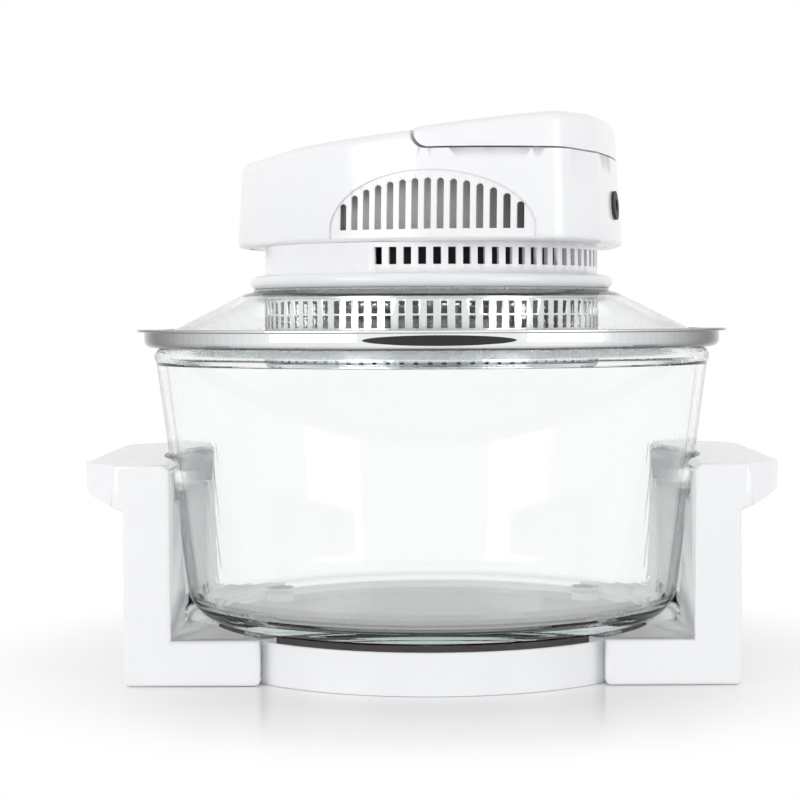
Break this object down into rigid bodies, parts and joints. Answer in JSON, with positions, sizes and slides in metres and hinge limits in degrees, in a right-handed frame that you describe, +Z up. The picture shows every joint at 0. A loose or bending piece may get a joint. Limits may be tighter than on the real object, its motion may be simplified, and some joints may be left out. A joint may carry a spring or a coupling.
{
  "type": "halogen oven",
  "caption": "Countertop halogen oven: round glass bowl in a moulded two-handled stand, under a lift-off glass lid with a motor and heater head.",
  "frame": {"origin": "on the table, under the middle of the bowl", "axes": "+Z up, +X along the line through the two grips, +Y away from the side that is seen first"},
  "size_m": [0.38, 0.3354, 0.3053],
  "materials": {
    "white_gloss": "glossy white moulded plastic",
    "grey_rubber": "soft dark rubber",
    "steel": "plain steel screws and pins",
    "dark_steel": "dark enamelled steel sheet",
    "bowl_glass": "clear thick glass with a green edge",
    "lid_glass": "clear toughened glass",
    "silicone": "translucent silicone seal",
    "band_chrome": "polished stainless rim band",
    "guard_steel": "bright perforated steel",
    "reflector_steel": "mirror-polished reflector",
    "quartz": "frosted quartz lamp tube",
    "ceramic": "white ceramic lamp ends",
    "copper": "enamelled copper winding",
    "lamination": "laminated motor iron",
    "fan_metal": "pressed aluminium fan",
    "black_plastic": "black moulded plastic",
    "panel_grey": "dark grey control panel",
    "key_plastic": "pale satin keys",
    "display_dark": "dark display window",
    "board_green": "green circuit board"
  },
  "bodies": {
    "stand": {"base_ring": "white_gloss", "side_bracket_left": "white_gloss", "side_bracket_right": "white_gloss", "stand_screws": "steel", "stand_feet": "grey_rubber", "bowl_rests": "grey_rubber", "heat_plate": "dark_steel"},
    "bowl": {"glass_bowl": "bowl_glass"},
    "lid": {"lid_seal": "silicone", "lid_rim_band": "band_chrome", "lid_glass": "lid_glass", "neck_gasket": "silicone", "neck_collar": "white_gloss", "clamp_ring": "guard_steel", "clamp_screws": "steel", "fan_guard": "guard_steel", "guard_grille": "guard_steel", "reflector": "reflector_steel", "halogen_tube": "quartz", "lamp_holders": "ceramic", "heat_baffle": "fan_metal", "motor_bracket": "steel", "bearing_straps": "steel", "motor_stator": "lamination", "motor_coil": "copper", "head_shell": "white_gloss", "head_floor": "white_gloss", "shell_screws": "steel", "neck_screws": "steel", "cord_gland": "black_plastic", "control_panel": "panel_grey", "display_window": "display_dark", "display_module": "black_plastic", "control_board": "board_green", "board_screws": "steel", "key_switches": "black_plastic", "handle_pins": "steel", "lid_switch": "black_plastic"},
    "fan_spindle": {"motor_shaft": "steel", "motor_rotor": "lamination", "oven_fan": "fan_metal", "cooling_fan": "black_plastic"},
    "lift_handle": {"lift_handle": "white_gloss"},
    "switch_plunger": {"switch_plunger": "key_plastic"},
    "power_key": {"power_key": "key_plastic"},
    "heat_down_key": {"heat_down_key": "key_plastic"},
    "time_down_key": {"time_down_key": "key_plastic"},
    "start_key": {"start_key": "key_plastic"},
    "heat_up_key": {"heat_up_key": "key_plastic"},
    "time_up_key": {"time_up_key": "key_plastic"}
  },
  "joints": [
    {"name": "bowl_lift", "type": "slide", "parent": "stand", "child": "bowl", "axis": [0, 0, 1], "range_m": [0, 0.12]},
    {"name": "lid_lift", "type": "slide", "parent": "bowl", "child": "lid", "axis": [0, 0, 1], "range_m": [0, 0.06]},
    {"name": "fan_spin", "type": "hinge", "parent": "lid", "child": "fan_spindle", "pos_m": [0, 0, 0.22], "axis": [0, 0, 1], "continuous": true},
    {"name": "handle_swing", "type": "hinge", "parent": "lid", "child": "lift_handle", "pos_m": [0.02135, -0.00532, 0.2924], "axis": [-0.2419, -0.9703, 0], "range_deg": [0, 90]},
    {"name": "plunger_press", "type": "slide", "parent": "lid", "child": "switch_plunger", "axis": [0, 0, 1], "range_m": [0, 0.0015]},
    {"name": "power_press", "type": "slide", "parent": "lid", "child": "power_key", "axis": [0.0841, -0.021, -0.9962], "range_m": [0, 0.0008], "stiffness_N_per_m": 400},
    {"name": "heat_down_press", "type": "slide", "parent": "lid", "child": "heat_down_key", "axis": [0.0841, -0.021, -0.9962], "range_m": [0, 0.0008], "stiffness_N_per_m": 400},
    {"name": "time_down_press", "type": "slide", "parent": "lid", "child": "time_down_key", "axis": [0.0841, -0.021, -0.9962], "range_m": [0, 0.0008], "stiffness_N_per_m": 400},
    {"name": "start_press", "type": "slide", "parent": "lid", "child": "start_key", "axis": [0.0841, -0.021, -0.9962], "range_m": [0, 0.0008], "stiffness_N_per_m": 400},
    {"name": "heat_up_press", "type": "slide", "parent": "lid", "child": "heat_up_key", "axis": [0.0841, -0.021, -0.9962], "range_m": [0, 0.0008], "stiffness_N_per_m": 400},
    {"name": "time_up_press", "type": "slide", "parent": "lid", "child": "time_up_key", "axis": [0.0841, -0.021, -0.9962], "range_m": [0, 0.0008], "stiffness_N_per_m": 400}
  ],
  "couplings": [
    {"joint": "plunger_press", "follows": "handle_swing", "m_per_rad": 0.00095}
  ]
}
